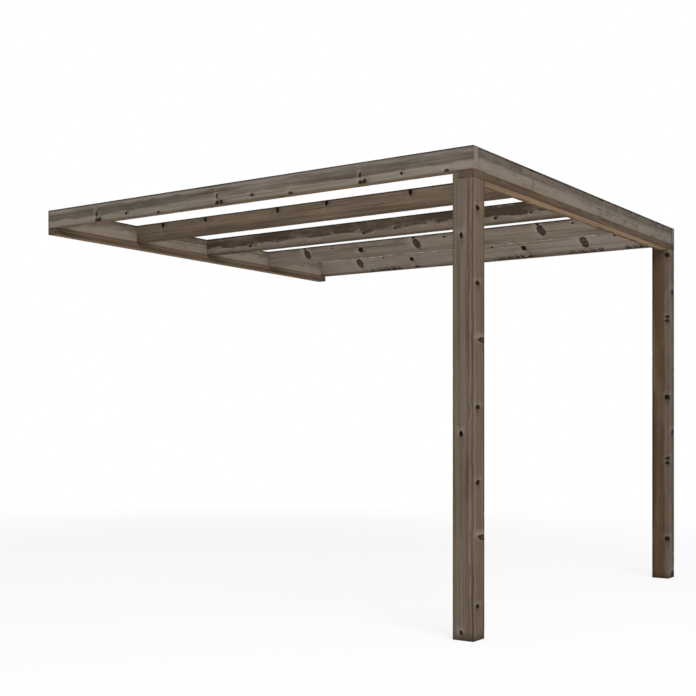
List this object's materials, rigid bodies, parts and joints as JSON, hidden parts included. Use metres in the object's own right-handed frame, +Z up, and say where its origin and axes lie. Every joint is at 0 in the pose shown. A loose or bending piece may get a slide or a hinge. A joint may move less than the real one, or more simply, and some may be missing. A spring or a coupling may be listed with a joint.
{
  "type": "lean-to pergola",
  "caption": "Open lean-to garden pergola of weathered planed timber: square front posts and bearers carry a level frame of boards and rafters that is fastened to a wall at the back.",
  "frame": {"origin": "centre of the back face of the ledger, where it is fastened to the wall", "axes": "+X to the right seen from the front, +Y into the wall, +Z up"},
  "size_m": [3, 3.13, 2.48],
  "materials": {
    "post_wood": "weathered",
    "rim_wood": "weathered",
    "rafter_wood": "weathered",
    "bearer_wood": "weathered"
  },
  "bodies": {
    "root": {"left_post": "post_wood", "right_post": "post_wood", "front_bearer": "bearer_wood", "back_bearer": "bearer_wood", "left_rim": "rim_wood", "right_rim": "rim_wood", "front_rim": "rim_wood", "back_ledger": "rim_wood", "rafter_left": "rafter_wood", "rafter_middle": "rafter_wood", "rafter_right": "rafter_wood"}
  },
  "joints": []
}
